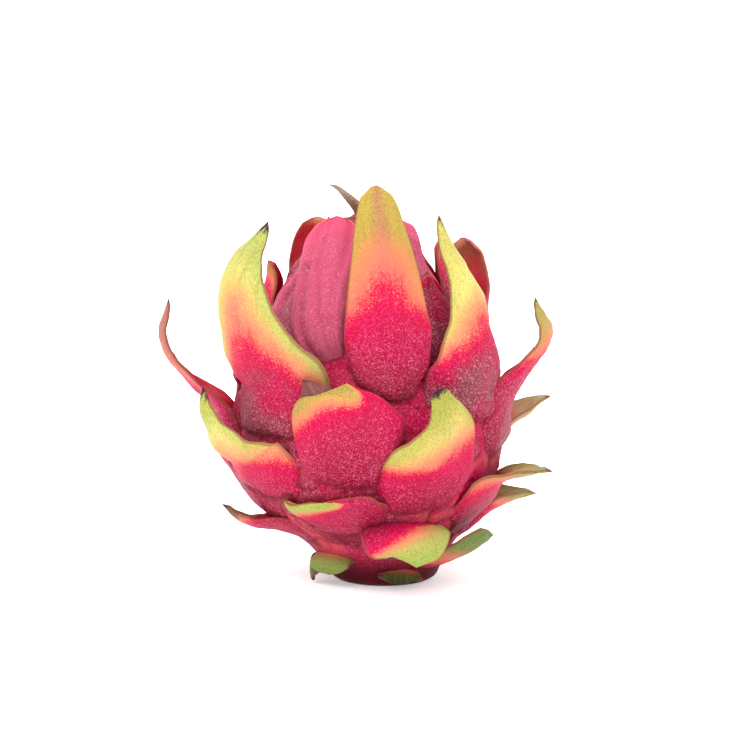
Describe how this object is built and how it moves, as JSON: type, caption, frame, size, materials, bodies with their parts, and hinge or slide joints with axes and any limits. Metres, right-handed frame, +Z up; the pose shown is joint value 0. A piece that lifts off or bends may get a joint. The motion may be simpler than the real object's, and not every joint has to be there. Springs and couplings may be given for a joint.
{
  "type": "dragon fruit",
  "caption": "Ripe red dragon fruit standing upright on its stem end, its skin covered by leafy bracts that run up into curled pointed tips.",
  "frame": {"origin": "middle of the small flat spot the fruit rests on", "axes": "+Z up from the stem end to the crown, -Y towards the side shown in the picture, +X to the right of that view"},
  "size_m": [0.1391, 0.1339, 0.1407],
  "materials": {
    "pitaya_skin": "soft satin skin, crimson pads running through orange and yellow to green tips"
  },
  "bodies": {
    "root": {"dragon_fruit": "pitaya_skin"}
  },
  "joints": []
}
